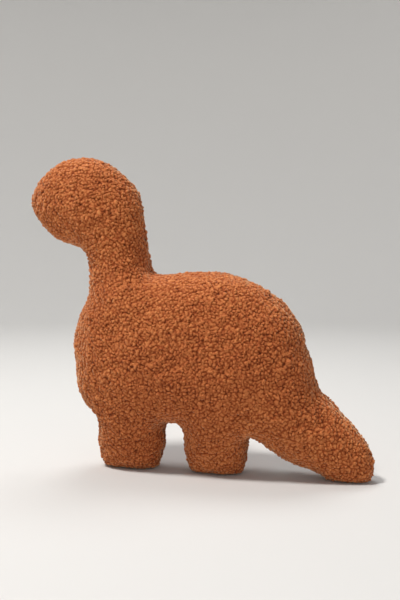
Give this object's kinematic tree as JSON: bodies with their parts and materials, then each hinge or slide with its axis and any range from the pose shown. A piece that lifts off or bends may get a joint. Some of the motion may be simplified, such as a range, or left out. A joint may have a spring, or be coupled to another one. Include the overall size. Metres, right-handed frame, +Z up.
{
  "type": "stuffed dinosaur cushion",
  "caption": "Plump long-necked dinosaur cushion in curly teddy fabric, sewn from two side panels over fibre filling; stands on its soles or leans and lies as a throw pillow.",
  "frame": {"origin": "on the floor under the middle of the toy's length, in the seam plane between its two panels, level with its soles", "axes": "+Z up, head towards -X, tail towards +X, the seam plane is XZ and the front panel faces -Y"},
  "size_m": [0.4997, 0.13, 0.4453],
  "materials": {
    "teddy_fabric": "rust-orange curly teddy pile, matt with a soft sheen",
    "sewing_thread": "rust polyester sewing thread",
    "satin_label": "plain white satin ribbon, blank",
    "fibre_filling": "white siliconised polyester fibre"
  },
  "bodies": {
    "root": {"front_panel": "teddy_fabric", "back_panel": "teddy_fabric", "seam_thread": "sewing_thread", "closing_thread": "sewing_thread", "care_label": "satin_label", "head_filling": "fibre_filling", "neck_filling": "fibre_filling", "body_filling": "fibre_filling", "front_leg_filling": "fibre_filling", "rear_leg_filling": "fibre_filling", "tail_filling": "fibre_filling"}
  },
  "joints": []
}
